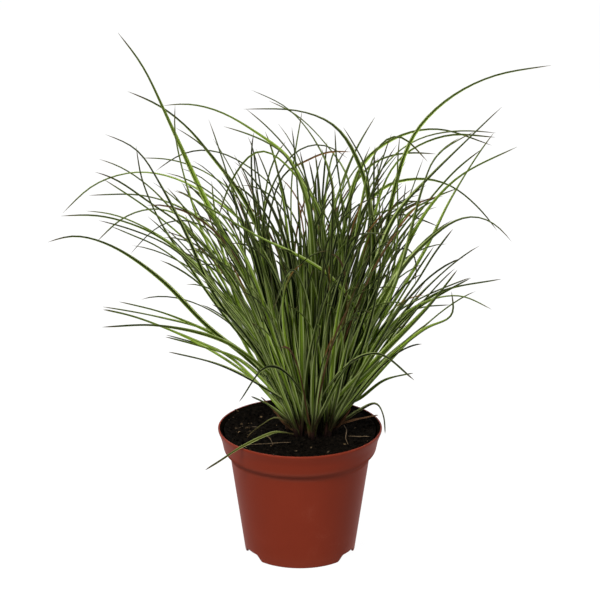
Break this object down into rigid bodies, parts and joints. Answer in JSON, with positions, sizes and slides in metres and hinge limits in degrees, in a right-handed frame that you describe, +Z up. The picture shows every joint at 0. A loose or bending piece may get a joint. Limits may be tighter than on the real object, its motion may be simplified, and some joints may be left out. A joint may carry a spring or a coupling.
{
  "type": "potted ornamental grass clump",
  "caption": "Clump of long, arching, striped grass blades growing from sheathed shoots in a round plastic nursery pot filled with soil.",
  "frame": {"origin": "on the floor, at the middle of the pot's foot and of the whole plant's plan", "axes": "+Z up along the pot's axis, +X to the right and -Y towards the viewer of the pictured side"},
  "size_m": [0.384, 0.3, 0.412],
  "materials": {
    "pot_plastic": "satin terracotta-coloured moulded plastic",
    "potting_soil": "dark, damp, crumbly potting soil",
    "sheath": "dry maroon-brown leaf sheaths, fibrous",
    "blade": "satin green leaf with thin pale yellow-green margins"
  },
  "bodies": {
    "root": {"blade_back_left_arch": "blade", "blade_back_left_low": "blade", "blade_back_long": "blade", "blade_back_low": "blade", "blade_back_right_arch": "blade", "blade_back_right_low": "blade", "blade_centre_back_arch": "blade", "blade_centre_back_low": "blade", "blade_centre_broad_arch": "blade", "blade_centre_front_arch": "blade", "blade_centre_upright": "blade", "blade_front_high": "blade", "blade_front_long": "blade", "blade_front_low": "blade", "blade_front_low_right": "blade", "blade_front_upright": "blade", "blade_left_arch": "blade", "blade_left_back_level": "blade", "blade_left_back_slope": "blade", "blade_left_far_arch": "blade", "blade_left_front_high": "blade", "blade_left_front_slope": "blade", "blade_left_front_wide": "blade", "blade_left_high": "blade", "blade_left_longest": "blade", "blade_left_low": "blade", "blade_left_low_back": "blade", "blade_left_low_front": "blade", "blade_left_low_short": "blade", "blade_left_small_arch": "blade", "blade_left_steep": "blade", "blade_left_tallest": "blade", "blade_left_thin_arch": "blade", "blade_left_upright": "blade", "blade_over_rim": "blade", "blade_right_back_arch": "blade", "blade_right_back_slope": "blade", "blade_right_broad": "blade", "blade_right_broad_arch": "blade", "blade_right_front_high": "blade", "blade_right_hook": "blade", "blade_right_inner": "blade", "blade_right_kinked": "blade", "blade_right_longest": "blade", "blade_right_low_arch": "blade", "blade_right_low_back": "blade", "blade_right_low_broad": "blade", "blade_right_low_short": "blade", "blade_right_slope": "blade", "blade_right_thin_arch": "blade", "pot": "pot_plastic", "shoot_back": "sheath", "shoot_back_left": "sheath", "shoot_back_right": "sheath", "shoot_front": "sheath", "shoot_front_left": "sheath", "shoot_front_right": "sheath", "shoot_left": "sheath", "shoot_right": "sheath", "soil": "potting_soil"}
  },
  "joints": []
}
